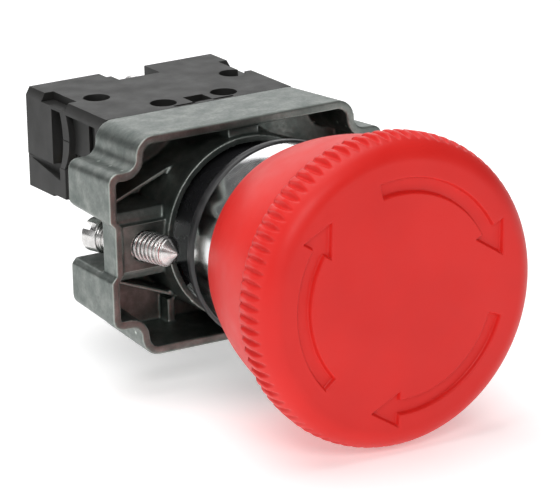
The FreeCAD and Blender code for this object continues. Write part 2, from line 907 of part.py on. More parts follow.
# ---------------------------------------------------------------- clamp screws

def clamp_placement(side):
    """From the screw's own frame (point at the origin, shank along +Y) to its place.  The
    screws splay outward to the rear, so that a driver passes beside the contact block."""
    turn = Rotation(Vector(0, 0, 1), -side * dim["clamp_tilt"].value)
    return Placement(Vector(side * dim["clamp_tip_x"].value, dim["clamp_tip_y"].value, 0), turn)


def make_clamp_screw(side, name):
    body = new_body(f"clamp_screw_{name}")
    end = dim["clamp_length"] + dim["clamp_head"]
    revolve(
        body,
        "turned_screw",
        [
            (0, 0),
            (dim["clamp_cone_radius"], dim["clamp_cone"]),
            (dim["clamp_radius"], dim["clamp_cone"] + 0.15),
            (dim["clamp_radius"], dim["clamp_length"]),
            (dim["clamp_head_radius"], dim["clamp_length"]),
            (dim["clamp_head_radius"], end),
            (0, end),
        ],
    )
    half_slot = dim["clamp_slot"] / 2
    slot = box_outline(-half_slot, half_slot, -4, 4)
    cut(body, "slot", "XZ_Plane", [slot], end - dim["clamp_slot_depth"], end + 1)
    diagonal = Placement(Vector(0, 0, 0), Rotation(Vector(0, 1, 0), side * 45))
    move(body, clamp_placement(side).multiply(diagonal))
    return body


# ---------------------------------------------------------------- contact block

def block_centre():
    """Outline of the middle chamber, which holds the plunger, the bridge and the springs."""
    half = dim["block_centre_half"]
    front = dim["block_front"] + dim["block_front_wall"]
    return box_outline(-half, half, front, dim["block_rear"] - dim["block_wall"])


def make_block_base():
    """Lower half of the contact block, up to the seam."""
    body = new_body("block_base")
    half, front, rear = dim["block_half"], dim["block_front"], dim["block_rear"]
    top = dim["block_seam"]
    shell = box_outline(-half, half, front, rear)
    extrude(body, "shell", "XY_Plane", [shell], dim["block_low"], top)
    floor = dim["block_low"] + dim["block_wall"]
    cut(body, "centre", "XY_Plane", [block_centre()], floor, top)
    recess = box_outline(
        dim["chamber_inner"], half + 1, dim["chamber_front"], dim["base_recess_rear"]
    )
    for place, shape in enumerate(both_sides(recess)):
        cut(body, f"recess_{place}", "XY_Plane", [shape], floor, top)
    for place, side in enumerate((1, -1)):
        hole = (dim["terminal_x"] * side, dim["terminal_y"], dim["terminal_hole"])
        cut(body, f"screw_hole_{place}", "XY_Plane", [hole], floor, top)
    return body


def make_block_cover():
    """Upper half: hollow round the contacts, open at the sides for the wires, with wells for the
    terminal screws and a rear notch for the fixing screw."""
    body = new_body("block_cover")
    half, front, rear = dim["block_half"], dim["block_front"], dim["block_rear"]
    seam, top = dim["block_seam"], dim["block_top"]
    shell = box_outline(-half, half, front, rear)
    extrude(body, "shell", "XY_Plane", [shell], seam, top)
    slab = top - dim["cover_slab"]
    chamber = box_outline(
        dim["chamber_inner"], half + 1, dim["chamber_front"], dim["chamber_rear"]
    )
    for place, shape in enumerate(both_sides(chamber)):
        cut(body, f"chamber_{place}", "XY_Plane", [shape], seam, slab)
    cut(body, "centre", "XY_Plane", [block_centre()], seam, dim["block_centre_top"])
    strip_gap = box_outline(
        dim["block_centre_half"] - 0.4,
        dim["chamber_inner"] + 0.4,
        dim["tab_front"] - 0.1,
        dim["neck_rear"] + 0.1,
    )
    for place, shape in enumerate(both_sides(strip_gap)):
        cut(body, f"strip_gap_{place}", "XY_Plane", [shape], seam, seam + dim["strip_thick"])
    rib = box_outline(half - dim["side_rib"], half, dim["side_rib_front"], dim["side_rib_rear"])
    for place, shape in enumerate(both_sides(rib)):
        extrude(body, f"rib_{place}", "XY_Plane", [shape], seam, slab + 0.2)
    wells = [(dim["terminal_x"] * side, dim["terminal_y"], dim["well_radius"]) for side in (1, -1)]
    cut(body, "terminal_wells", "XY_Plane", wells, slab - 0.2, top + 1)
    middle = dim["latch_offset"]
    places = (middle + dim["front_well_x"], middle - dim["front_well_x"])
    blind = [(place, dim["front_well_y"], dim["well_radius"]) for place in places]
    cut(body, "front_wells", "XY_Plane", blind, dim["well_floor"], top + 1)
    latch = box_outline(
        middle - dim["latch_half"],
        middle + dim["latch_half"],
        dim["latch_front"],
        dim["latch_rear"],
    )
    cut(body, "latch_hole", "XY_Plane", [latch], dim["latch_floor"], top + 1)
    notch = box_outline(
        -dim["rear_notch_half"], dim["rear_notch_half"], dim["rear_notch_front"], rear + 1
    )
    cut(body, "rear_notch", "XY_Plane", [notch], dim["rear_notch_floor"], top + 1)
    side_slot = box_outline(
        dim["side_slot_inner"], half + 1, dim["side_slot_front"], dim["side_slot_rear"]
    )
    for place, shape in enumerate(both_sides(side_slot)):
        cut(body, f"side_slot_{place}", "XY_Plane", [shape], slab + 0.5, top + 1)
    reach = dim["plunger_half"] + dim["running_gap"]
    low = dim["plunger_height"] - reach
    plunger_hole = box_outline(-reach, reach, low, dim["plunger_height"] + reach)
    cut(body, "plunger_hole", "XZ_Plane", [plunger_hole], front - 1, front + 2)
    screw = (0, dim["fixing_height"], dim["fixing_radius"] + dim["running_gap"])
    cut(body, "fixing_hole", "XZ_Plane", [screw], front - 1, dim["rear_notch_front"] + 1)
    return body


def make_contact_plunger():
    """Square plunger with a window for the bridge and a stem for its spring."""
    body = new_body("contact_plunger")
    half, height = dim["plunger_half"], dim["plunger_height"]
    section = box_outline(-half, half, height - half, height + half)
    front, rear = dim["plunger_front"], dim["plunger_rear"]
    extrude(body, "slider", "XZ_Plane", [section], front, rear)
    stem = (0, height, dim["plunger_stem"])
    extrude(body, "stem", "XZ_Plane", [stem], rear - 0.2, rear + dim["plunger_stem_length"])
    opening = dim["plunger_window"]
    window = box_outline(-half - 1, half + 1, height - opening, height + opening)
    cut(body, "window", "XZ_Plane", [window], dim["bridge_front"], rear - 1)
    return body


def make_bridge():
    body = new_body("bridge_contact")
    height = dim["plunger_height"]
    front = dim["bridge_front"]
    reach = dim["bridge_half_width"]
    width = dim["bridge_half_height"]
    strip = box_outline(-reach, reach, height - width, height + width)
    extrude(body, "strip", "XZ_Plane", [strip], front, front + dim["bridge_thick"])
    return body


def make_tips(label, start):
    """A pair of silver contact tips, one on each side of the plunger."""
    tips = []
    for side, name in ((-1, "left"), (1, "right")):
        tip = doc.addObject("Part::Cylinder", f"{label}_{name}")
        bind(tip, "Radius", dim["tip_radius"])
        bind(tip, "Height", dim["tip_thick"])
        tip.Placement = Placement(
            Vector(side * dim["tip_x"].value, number(start), dim["plunger_height"].value),
            Rotation(Vector(1, 0, 0), -90),
        )
        tips.append(tip)
    pair = doc.addObject("Part::Compound", label)
    pair.Links = tips
    pair.Label = label
    doc.recompute()
    return pair


def make_fixed_contact(side, name):
    """Terminal pad under the clamp washer, with an upright tab that carries the fixed tip."""
    body = new_body(f"fixed_contact_{name}")
    low = dim["block_seam"]
    high = low + dim["strip_thick"]
    pad = box_outline(dim["pad_inner"], dim["pad_outer"], dim["pad_front"], dim["pad_rear"])
    neck = box_outline(dim["tab_inner"], dim["neck_outer"], dim["tab_front"], dim["neck_rear"])
    tab = box_outline(dim["tab_inner"], dim["tab_outer"], dim["tab_front"], dim["tab_rear"])
    mirror = 0 if side > 0 else 1
    extrude(body, "neck", "XY_Plane", [both_sides(neck)[mirror]], low, high)
    extrude(body, "pad", "XY_Plane", [both_sides(pad)[mirror]], low, high)
    extrude(body, "tab", "XY_Plane", [both_sides(tab)[mirror]], low, dim["tab_top"])
    hole = (dim["terminal_x"] * side, dim["terminal_y"], dim["terminal_hole"])
    cut(body, "screw_hole", "XY_Plane", [hole], low - 1, high + 1)
    return body


def make_terminal_washer(side, name):
    body = new_body(f"terminal_washer_{name}")
    centre_x, centre_y = dim["terminal_x"] * side, dim["terminal_y"]
    width, length = dim["washer_half_width"], dim["washer_half_length"]
    plate = box_outline(
        centre_x - width, centre_x + width, centre_y - length, centre_y + length
    )
    hole = (centre_x, centre_y, dim["terminal_hole"])
    low = dim["block_seam"] + dim["strip_thick"] + dim["running_gap"]
    extrude(body, "plate", "XY_Plane", [plate, hole], low, low + dim["washer_thick"])
    return body


def make_terminal_screw(side, name):
    """Slotted cheese-head screw, standing upright in its terminal."""
    body = new_body(f"terminal_screw_{name}")
    strip_top = dim["block_seam"] + dim["strip_thick"]
    head_low = strip_top + dim["running_gap"] + dim["washer_thick"]
    head_top = head_low + dim["terminal_head"]
    x, y = dim["terminal_x"] * side, dim["terminal_y"]
    shank_low = dim["terminal_shank_low"]
    shank = (x, y, dim["terminal_shank"])
    head = (x, y, dim["terminal_head_radius"])
    extrude(body, "shank", "XY_Plane", [shank], shank_low, head_low)
    extrude(body, "head", "XY_Plane", [head], head_low, head_top)
    half_slot = dim["terminal_slot"] / 2
    slot = box_outline(x - 3, x + 3, y - half_slot, y + half_slot)
    cut(body, "slot", "XY_Plane", [slot], head_top - dim["terminal_slot_depth"], head_top + 1)
    return body


def make_fixing_screw():
    """Long captive screw that draws the block onto the bracket."""
    body = new_body("block_fixing_screw")
    shoulder = dim["rear_notch_front"]
    height = dim["fixing_height"]
    head_rear = shoulder + dim["fixing_head"]
    shank = [(0, height, dim["fixing_radius"])]
    head = [(0, height, dim["fixing_head_radius"])]
    extrude(body, "shank", "XZ_Plane", shank, dim["fixing_front"], shoulder)
    extrude(body, "head", "XZ_Plane", head, shoulder, head_rear)
    half_slot = dim["fixing_slot"] / 2
    slot = box_outline(-3, 3, height - half_slot, height + half_slot)
    cut(body, "slot", "XZ_Plane", [slot], head_rear - dim["fixing_slot_depth"], head_rear + 1)
    return body


def make_springs():
    """The three compression springs, all about axes along Y."""
    gap = dim["running_gap"]
    rear_wall = dim["block_rear"] - dim["block_wall"]
    bridge_rear = dim["bridge_front"] + dim["bridge_thick"]
    window_rear = dim["plunger_rear"] - 1
    ends = {
        "return": (-dim["hub_rear"], dim["guide_front"], 6),
        "plunger": (dim["plunger_rear"], rear_wall, 6),
        "contact": (bridge_rear, window_rear, 4),
    }
    springs = []
    for name, (low, high, turns) in ends.items():
        radius, wire = dim[name + "_coil"], dim[name + "_wire"]
        springs.append(coil(name + "_spring", radius, wire, low + gap, high - gap, turns))
    for spring in springs[1:]:
        move(spring, Placement(Vector(0, 0, dim["plunger_height"].value), Rotation()))
    return springs


# ---------------------------------------------------------------- assembly and export

def build():
    pieces = [
        make_mushroom_cap(),
        make_stem(),
        make_latch_pin(),
        make_retaining_ring(),
        make_pusher_plate(),
        make_bezel(),
        make_barrel(),
        make_gasket(),
        make_stem_seal(),
        make_latch_sleeve(),
        make_bracket(),
        make_block_base(),
        make_block_cover(),
        make_contact_plunger(),
        make_bridge(),
        make_tips("moving_tips", dim["bridge_front"] - dim["tip_thick"]),
        make_tips("fixed_tips", dim["bridge_front"] - dim["tip_thick"] * 2),
        make_fixing_screw(),
    ]
    for side, name in ((-1, "left"), (1, "right")):
        pieces.append(make_clamp_screw(side, name))
        pieces.append(make_fixed_contact(side, name))
        pieces.append(make_terminal_washer(side, name))
        pieces.append(make_terminal_screw(side, name))
    return pieces + make_springs()


def check(pieces):
    for obj in doc.Objects:
        if "Invalid" in obj.State or "Error" in obj.State:
            raise RuntimeError(f"{obj.Label} is in state {obj.State}")
    for piece in pieces:
        shape = piece.Shape
        if shape.isNull() or not shape.isValid() or not shape.Solids:
            raise RuntimeError(f"{piece.Label} has no valid solid")


parts = build()
doc.recompute()
check(parts)
os.makedirs("parts", exist_ok=True)
for part in parts:
    part.Shape.exportStep(f"parts/{part.Label}.step")
    print(part.Label, len(part.Shape.Solids), round(part.Shape.Volume, 2))
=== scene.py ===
import json
import math

import bmesh
import bpy
import numpy as np
from mathutils import Matrix, Vector


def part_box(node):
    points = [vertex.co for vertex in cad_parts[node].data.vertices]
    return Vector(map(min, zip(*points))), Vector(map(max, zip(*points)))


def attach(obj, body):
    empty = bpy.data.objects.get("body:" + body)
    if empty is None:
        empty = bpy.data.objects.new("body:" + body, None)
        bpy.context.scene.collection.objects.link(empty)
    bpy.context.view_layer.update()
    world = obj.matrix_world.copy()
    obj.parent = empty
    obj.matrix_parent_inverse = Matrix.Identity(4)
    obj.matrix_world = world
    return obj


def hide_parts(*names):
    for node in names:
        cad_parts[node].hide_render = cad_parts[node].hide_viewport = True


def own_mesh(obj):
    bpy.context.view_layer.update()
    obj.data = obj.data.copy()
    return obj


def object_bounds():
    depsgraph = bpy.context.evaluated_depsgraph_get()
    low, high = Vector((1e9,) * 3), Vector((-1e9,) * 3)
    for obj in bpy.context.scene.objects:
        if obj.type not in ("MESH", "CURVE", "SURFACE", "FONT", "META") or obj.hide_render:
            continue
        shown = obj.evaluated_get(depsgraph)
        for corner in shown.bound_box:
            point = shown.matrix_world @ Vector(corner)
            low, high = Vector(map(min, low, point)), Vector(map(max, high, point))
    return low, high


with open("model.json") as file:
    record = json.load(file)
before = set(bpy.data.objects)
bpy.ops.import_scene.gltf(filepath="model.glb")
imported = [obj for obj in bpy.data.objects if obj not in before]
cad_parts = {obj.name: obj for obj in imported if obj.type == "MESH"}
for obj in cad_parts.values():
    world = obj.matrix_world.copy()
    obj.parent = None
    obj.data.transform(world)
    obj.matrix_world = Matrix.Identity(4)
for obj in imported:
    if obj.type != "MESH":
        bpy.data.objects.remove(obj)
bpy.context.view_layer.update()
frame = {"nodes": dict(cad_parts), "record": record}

# The button's axis is Y: the mushroom faces -Y, the panel's front is the plane Y = 0.
# Lengths in this script are millimetres, turned into metres where a mesh is made.
MM = 0.001
TAU = 2 * math.pi

RECORD = frame["record"]
BODY_OF = {node: body for body, nodes in RECORD["behaviour"]["bodies"].items() for node in nodes}
SLOT_OF = {row["node"]: row["material_slot"] for row in RECORD["subparts"]}


def span(node):
    """Lowest and highest corner of a CAD node, in millimetres."""
    low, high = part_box(node)
    return low / MM, high / MM


# ---------------------------------------------------------------- materials

def new_material(name):
    material = bpy.data.materials.new(name)
    material.use_nodes = True
    nodes = material.node_tree.nodes
    return material, nodes, material.node_tree.links, nodes["Principled BSDF"]


def object_coordinates(nodes, links, stretch=(1, 1, 1)):
    """Object coordinates in millimetres, so that noise scales read as features per millimetre."""
    coordinates = nodes.new("ShaderNodeTexCoord")
    mapping = nodes.new("ShaderNodeMapping")
    mapping.inputs["Scale"].default_value = [axis / MM for axis in stretch]
    links.new(coordinates.outputs["Object"], mapping.inputs["Vector"])
    return mapping.outputs["Vector"]


def noise(nodes, links, vector, scale, detail=3.0, roughness=0.5):
    texture = nodes.new("ShaderNodeTexNoise")
    texture.inputs["Scale"].default_value = scale
    texture.inputs["Detail"].default_value = detail
    texture.inputs["Roughness"].default_value = roughness
    links.new(vector, texture.inputs["Vector"])
    return texture.outputs["Fac"]


def ramp(nodes, links, value, stops):
    """A colour ramp from (position, colour) stops; a plain number stands for a grey."""
    node = nodes.new("ShaderNodeValToRGB")
    elements = node.color_ramp.elements
    while len(elements) < len(stops):
        elements.new(0.5)
    for element, (position, colour) in zip(elements, stops):
        if isinstance(colour, (int, float)):
            colour = (colour, colour, colour)
        element.position = position
        element.color = (*colour, 1.0)
    links.new(value, node.inputs["Fac"])
    return node.outputs["Color"]


def add_bump(nodes, links, shader, heights):
    """Stack bumps on the shader's normal; each height is (value, strength, depth in mm)."""
    previous = None
    for value, strength, depth in heights:
        bump = nodes.new("ShaderNodeBump")
        bump.inputs["Strength"].default_value = strength
        bump.inputs["Distance"].default_value = depth * MM
        links.new(value, bump.inputs["Height"])
        if previous is not None:
            links.new(previous, bump.inputs["Normal"])
        previous = bump.outputs["Normal"]
    links.new(previous, shader.inputs["Normal"])


def painted_edge_highlight(nodes, links):
    """Painted highlight along convex edges, from the mesh's own shape."""
    geometry = nodes.new("ShaderNodeNewGeometry")
    return ramp(nodes, links, geometry.outputs["Pointiness"], [(0.52, 0.0), (0.60, 1.0)])


def mix_colour(nodes, links, factor, first, second):
    node = nodes.new("ShaderNodeMix")
    node.data_type = "RGBA"
    links.new(factor, node.inputs["Factor"])
    for socket, colour in ((node.inputs[6], first), (node.inputs[7], second)):
        if isinstance(colour, tuple):
            socket.default_value = (*colour, 1.0)
        else:
            links.new(colour, socket)
    return node.outputs[2]


def moulded_plastic(name, dark, light, rough, grain, grain_depth, coat=0.0):
    """Injection-moulded plastic: slight colour drift, uneven gloss and a fine eroded grain."""
    material, nodes, links, shader = new_material(name)
    vector = object_coordinates(nodes, links)
    drift = noise(nodes, links, vector, 0.09, 2.0)
    links.new(
        ramp(nodes, links, drift, [(0.3, dark), (0.7, light)]), shader.inputs["Base Color"]
    )
    gloss = noise(nodes, links, vector, 0.35, 4.0)
    links.new(
        ramp(nodes, links, gloss, [(0.3, rough - 0.05), (0.7, rough + 0.06)]),
        shader.inputs["Roughness"],
    )
    fine = noise(nodes, links, vector, grain, 2.0, 0.6)
    flow = noise(nodes, links, vector, 0.25, 2.0)
    add_bump(nodes, links, shader, [(fine, 0.35, grain_depth), (flow, 0.2, 0.05)])
    shader.inputs["Coat Weight"].default_value = coat
    shader.inputs["Coat Roughness"].default_value = 0.25
    shader.inputs["Specular IOR Level"].default_value = 0.3
    return material


def polished_chrome(name):
    """Plated bezel: a deep mirror with faint polishing lines round the axis and a soft haze."""
    material, nodes, links, shader = new_material(name)
    vector = object_coordinates(nodes, links, (0.15, 6.0, 0.15))
    lines = noise(nodes, links, vector, 2.2, 3.0)
    haze = noise(nodes, links, object_coordinates(nodes, links), 0.5, 4.0)
    shader.inputs["Metallic"].default_value = 1.0
    links.new(
        ramp(nodes, links, haze, [(0.3, (0.70, 0.71, 0.72)), (0.7, (0.82, 0.82, 0.82))]),
        shader.inputs["Base Color"],
    )
    links.new(
        ramp(nodes, links, haze, [(0.35, 0.09), (0.75, 0.17)]), shader.inputs["Roughness"]
    )
    add_bump(nodes, links, shader, [(lines, 0.08, 0.01)])
    return material


def cast_zinc(name):
    """Tumbled die-cast zinc: mottled greenish-grey skin, a painted highlight on the edges, fine
    pits.
    """
    material, nodes, links, shader = new_material(name)
    vector = object_coordinates(nodes, links)
    cloud = noise(nodes, links, vector, 0.34, 6.0, 0.68)
    speck = noise(nodes, links, vector, 2.4, 4.0, 0.65)
    dark, middle, light = (0.120, 0.144, 0.132), (0.175, 0.196, 0.183), (0.27, 0.29, 0.27)
    # A pale colour mixed in along the convex edges: a painted highlight where the edges catch the
    # light.
    edge_highlight_colour = (0.60, 0.65, 0.60)
    body = ramp(nodes, links, cloud, [(0.32, dark), (0.50, middle), (0.68, light)])
    body_and_edge_highlight = mix_colour(nodes, links, painted_edge_highlight(nodes, links), body, edge_highlight_colour)
    links.new(body_and_edge_highlight, shader.inputs["Base Color"])
    shader.inputs["Metallic"].default_value = 0.95
    links.new(
        ramp(nodes, links, speck, [(0.3, 0.36), (0.7, 0.52)]), shader.inputs["Roughness"]
    )
    pits = noise(nodes, links, vector, 5.5, 3.0, 0.7)
    add_bump(nodes, links, shader, [(pits, 0.32, 0.03), (cloud, 0.25, 0.10)])
    return material


def plated_steel(name, tint=(0.74, 0.73, 0.72), rough=0.2):
    """Bright zinc-plated steel with fine turning marks and a little tarnish."""
    material, nodes, links, shader = new_material(name)
    vector = object_coordinates(nodes, links)
    cloud = noise(nodes, links, vector, 0.8, 4.0, 0.6)
    dull = tuple(channel * 0.72 for channel in tint)
    links.new(ramp(nodes, links, cloud, [(0.3, dull), (0.65, tint)]), shader.inputs["Base Color"])
    shader.inputs["Metallic"].default_value = 1.0
    links.new(
        ramp(nodes, links, cloud, [(0.3, rough + 0.12), (0.7, rough)]), shader.inputs["Roughness"]
    )
    marks = noise(nodes, links, object_coordinates(nodes, links, (1, 1, 4)), 3.0, 2.0)
    add_bump(nodes, links, shader, [(marks, 0.15, 0.012)])
    return material


def black_rubber(name):
    material, nodes, links, shader = new_material(name)
    vector = object_coordinates(nodes, links)
    bloom = noise(nodes, links, vector, 0.6, 4.0)
    links.new(
        ramp(nodes, links, bloom, [(0.35, (0.010, 0.010, 0.011)), (0.8, (0.028, 0.028, 0.029))]),
        shader.inputs["Base Color"],
    )
    links.new(ramp(nodes, links, bloom, [(0.3, 0.30), (0.7, 0.46)]), shader.inputs["Roughness"])
    grain = noise(nodes, links, vector, 7.0, 2.0)
    add_bump(nodes, links, shader, [(grain, 0.25, 0.01)])
    return material


def rolled_brass(name):
    return plated_steel(name, (0.80, 0.58, 0.27), 0.26)


MATERIALS = {
    "red_plastic": moulded_plastic(
        "red_plastic", (0.70, 0.016, 0.012), (0.77, 0.021, 0.016), 0.45, 6.0, 0.012, 0.05
    ),
    "bezel_chrome": polished_chrome("bezel_chrome"),
    "black_plastic": moulded_plastic(
        "black_plastic", (0.012, 0.012, 0.013), (0.022, 0.022, 0.024), 0.26, 5.0, 0.008, 0.2
    ),
    "black_rubber": black_rubber("black_rubber"),
    "zinc": cast_zinc("zinc"),
    "plated_steel": plated_steel("plated_steel"),
    "spring_steel": plated_steel("spring_steel", (0.56, 0.56, 0.55), 0.28),
    "grey_plastic": moulded_plastic(
        "grey_plastic", (0.016, 0.016, 0.015), (0.024, 0.024, 0.023), 0.50, 9.0, 0.02
    ),
    "ivory_plastic": moulded_plastic(
        "ivory_plastic", (0.62, 0.60, 0.52), (0.72, 0.70, 0.62), 0.42, 6.0, 0.01
    ),
    "brass_strip": rolled_brass("brass_strip"),
    "silver_tips": plated_steel("silver_tips", (0.86, 0.86, 0.84), 0.22),
}


# ---------------------------------------------------------------- mesh helpers

LATHE_SEGMENTS = 256
HOLE_SIDES = 48
MERGE_DISTANCE = 0.002
FLAT_WITHIN = 0.6
BEVEL_ABOVE = 32


def finish_mesh(name, node, vertices, faces):
    """A piece that stands for one CAD node: its mesh (millimetres), material, body and slot."""
    mesh = bpy.data.meshes.new(name)
    mesh.from_pydata([tuple(float(c) * MM for c in vertex) for vertex in vertices], [], faces)
    mesh.validate()
    return adopt(bpy.data.objects.new(name, mesh), node)


def adopt(piece, node):
    """Link a new piece, recalculate its normals and let it stand for a CAD node."""
    bpy.context.scene.collection.objects.link(piece)
    mesh = piece.data
    work = bmesh.new()
    work.from_mesh(mesh)
    bmesh.ops.recalc_face_normals(work, faces=work.faces)
    work.to_mesh(mesh)
    work.free()
    for polygon in mesh.polygons:
        polygon.use_smooth = True
    mesh.materials.clear()
    mesh.materials.append(MATERIALS[SLOT_OF[node]])
    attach(piece, BODY_OF[node])
    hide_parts(node)
    return piece


def rounded(points, steps=4):
    """A closed or open profile with its corners rounded.  Each point is (x, y) or
    (x, y, radius); an arc of that radius replaces the corner."""
    result = []
    count = len(points)
    for index, point in enumerate(points):
        radius = point[2] if len(point) == 3 else 0.0
        here = np.array(point[:2], float)
        if radius <= 0:
            result.append(tuple(here))
            continue
        before = np.array(points[index - 1][:2], float) - here
        after = np.array(points[(index + 1) % count][:2], float) - here
        before /= np.linalg.norm(before)
        after /= np.linalg.norm(after)
        half = math.acos(max(-1.0, min(1.0, float(before @ after)))) / 2
        reach = radius / math.tan(half)
        start, end = here + before * reach, here + after * reach
        bisector = before + after
        centre = here + bisector / np.linalg.norm(bisector) * (radius / math.sin(half))
        first = math.atan2(*(start - centre)[::-1])
        last = math.atan2(*(end - centre)[::-1])
        turn = (last - first + math.pi) % TAU - math.pi
        for step in range(steps + 1):
            angle = first + turn * step / steps
            result.append(
                (centre[0] + radius * math.cos(angle), centre[1] + radius * math.sin(angle))
            )
    return result


def ring_faces(rows, segments, closed):
    """Quads between neighbouring rows of vertices."""
    faces = []
    last = rows if closed else rows - 1
    for row in range(last):
        following = (row + 1) % rows
        for step in range(segments):
            after = (step + 1) % segments
            faces.append(
                (
                    row * segments + step,
                    row * segments + after,
                    following * segments + after,
                    following * segments + step,
                )
            )
    return faces


def lathe(name, node, profile):
    """Turn a closed profile of (radius, position) about the Y axis."""
    vertices = []
    for radius, position in profile:
        for step in range(LATHE_SEGMENTS):
            angle = TAU * step / LATHE_SEGMENTS
            vertices.append((radius * math.cos(angle), position, radius * math.sin(angle)))
    return finish_mesh(name, node, vertices, ring_faces(len(profile), LATHE_SEGMENTS, True))


def copy_of(node, name):
    """A new mesh with the shape of a CAD node, its split vertices joined again."""
    mesh = frame["nodes"][node].data.copy()
    mesh.name = name
    work = bmesh.new()
    work.from_mesh(mesh)
    bmesh.ops.remove_doubles(work, verts=work.verts, dist=MERGE_DISTANCE * MM)
    bmesh.ops.dissolve_limit(
        work, angle_limit=math.radians(FLAT_WITHIN), verts=work.verts, edges=work.edges
    )
    work.to_mesh(mesh)
    work.free()
    return bpy.data.objects.new(name, mesh)


def new_mesh(name, vertices, faces):
    """A mesh from points in millimetres, its faces turned outward."""
    mesh = bpy.data.meshes.new(name)
    mesh.from_pydata([tuple(float(c) * MM for c in vertex) for vertex in vertices], [], faces)
    work = bmesh.new()
    work.from_mesh(mesh)
    bmesh.ops.recalc_face_normals(work, faces=work.faces)
    work.to_mesh(mesh)
    work.free()
    return mesh


def prism(outline, axis, low, high):
    """A flat outline pushed along X, Y or Z.  The outline's numbers are the two other axes."""
    place = {"X": (1, 2, 0), "Y": (0, 2, 1), "Z": (0, 1, 2)}[axis]
    vertices = []
    for depth in (low, high):
        for first, second in outline:
            point = [0.0, 0.0, 0.0]
            for index, value in zip(place, (first, second, depth)):
                point[index] = value
            vertices.append(tuple(point))
    count = len(outline)
    faces = [tuple(range(count)), tuple(range(count, 2 * count))]
    faces += [(i, (i + 1) % count, count + (i + 1) % count, count + i) for i in range(count)]
    return vertices, faces


def solid(name, shapes):
    """One object from several closed shapes."""
    vertices, faces = [], []
    for points, sides in shapes:
        first = len(vertices)
        vertices += points
        faces += [tuple(first + index for index in side) for side in sides]
    return bpy.data.objects.new(name, new_mesh(name, vertices, faces))


def carve(piece, shapes, operation="DIFFERENCE"):
    """Cut closed shapes out of a piece, or join them to it."""
    collection = bpy.context.scene.collection
    collection.objects.link(piece)
    for shape in shapes:
        tool = solid("tool", [shape])
        collection.objects.link(tool)
        step = piece.modifiers.new("carve", "BOOLEAN")
        step.operation = operation
        step.object = tool
        apply_modifiers(piece)
        bpy.data.objects.remove(tool)
    collection.objects.unlink(piece)


def bevel(piece, width):
    """Break the sharp edges and keep the flat faces flat."""
    bpy.context.scene.collection.objects.link(piece)
    edges = piece.modifiers.new("bevel", "BEVEL")
    edges.width = width * MM
    edges.segments = 2
    edges.limit_method = "ANGLE"
    edges.angle_limit = math.radians(BEVEL_ABOVE)
    even = piece.modifiers.new("normals", "WEIGHTED_NORMAL")
    even.keep_sharp = True
    for polygon in piece.data.polygons:
        polygon.use_smooth = True
    apply_modifiers(piece)
    bpy.context.scene.collection.objects.unlink(piece)


def apply_modifiers(piece):
    """Replace the piece's mesh by what its modifiers make of it."""
    graph = bpy.context.evaluated_depsgraph_get()
    mesh = bpy.data.meshes.new_from_object(piece.evaluated_get(graph))
    piece.modifiers.clear()
    piece.data = mesh


# ---------------------------------------------------------------- mushroom head

KNURL_COUNT = 85
KNURL_SAMPLES = 12
KNURL_ROOT = 19.75
KNURL_REAR = -24.3
KNURL_REAR_RADIUS = 20.0
CAP_DOME = 0.3
CAP_ROUND = 3.1
CAP_ROUND_DEPTH = 4.0
CAP_WALL = 1.7
SKIRT_TOP, SKIRT_MIDDLE, SKIRT_END = (18.6, -23.8), (17.5, -15.9), (14.4, -7.2)
SKIRT_LIP = 0.7
HOLLOW_END = -14.0
BOSS_RADIUS = 6.8
BOSS_END = -13.0
STEM_HOLE_RADIUS = 4.0
STEM_HOLE_END = -27.6
KNURL_SCALLOP = 2.3
KNURL_BLEND = 0.08
ARROW_DEPTH = 0.55
ARROW_EDGE = 0.2
ARROW_COUNT = 3
FACE_COARSE_END = 11.4
FACE_FINE_STEP = 0.1


def arrow_outline():
    """One curved arrow on the face, in polar terms: a band and a barbed head."""
    tail, head, tip = 101.0, 26.8, 10.8
    inner, outer = 13.3, 15.3
    sweep = np.linspace(math.radians(head), math.radians(tail), 36)
    points = [(outer * math.cos(a), outer * math.sin(a)) for a in sweep]
    points += [(inner * math.cos(a), inner * math.sin(a)) for a in sweep[::-1]]
    for radius, degrees in ((inner - 1.1, head), (outer - 0.1, tip), (outer + 1.65, head)):
        angle = math.radians(degrees)
        points.append((radius * math.cos(angle), radius * math.sin(angle)))
    return np.array(points)


def distance_inside(points, outline):
    """Signed distance from each point to a closed outline, positive inside."""
    start = outline
    end = np.roll(outline, -1, axis=0)
    nearest = np.full(len(points), 1e9)
    crossings = np.zeros(len(points), int)
    for a, b in zip(start, end):
        along = b - a
        offset = points - a
        share = np.clip(offset @ along / (along @ along), 0, 1)
        gap = np.linalg.norm(offset - share[:, None] * along, axis=1)
        nearest = np.minimum(nearest, gap)
        above = (a[1] > points[:, 1]) != (b[1] > points[:, 1])
        if along[1] != 0:
            cross_x = a[0] + along[0] * (points[:, 1] - a[1]) / along[1]
            crossings += above & (points[:, 0] < cross_x)
    return np.where(crossings % 2 == 1, nearest, -nearest)


def smoothstep(low, high, value):
    share = np.clip((value - low) / (high - low), 0, 1)
    return share * share * (3 - 2 * share)


def arc_through(first, middle, last, steps):
    """Points on the circle through three points, from the first to the last."""
    first, middle, last = (np.array(point, float) for point in (first, middle, last))
    rows = np.array([2 * (middle - first), 2 * (last - first)])
    squares = np.array([middle @ middle - first @ first, last @ last - first @ first])
    centre = np.linalg.solve(rows, squares)
    radius = np.linalg.norm(first - centre)
    start = math.atan2(*(first - centre)[::-1])
    turn = (math.atan2(*(last - centre)[::-1]) - start + math.pi) % TAU - math.pi
    angles = start + turn * np.linspace(0, 1, steps)
    return [(centre[0] + radius * math.cos(a), centre[1] + radius * math.sin(a)) for a in angles]


def soft_minimum(first, second, blend):
    """The smaller of two values, with a rounded change from one to the other."""
    share = np.clip(0.5 + 0.5 * (second - first) / blend, 0, 1)
    return second + (first - second) * share - blend * share * (1 - share)


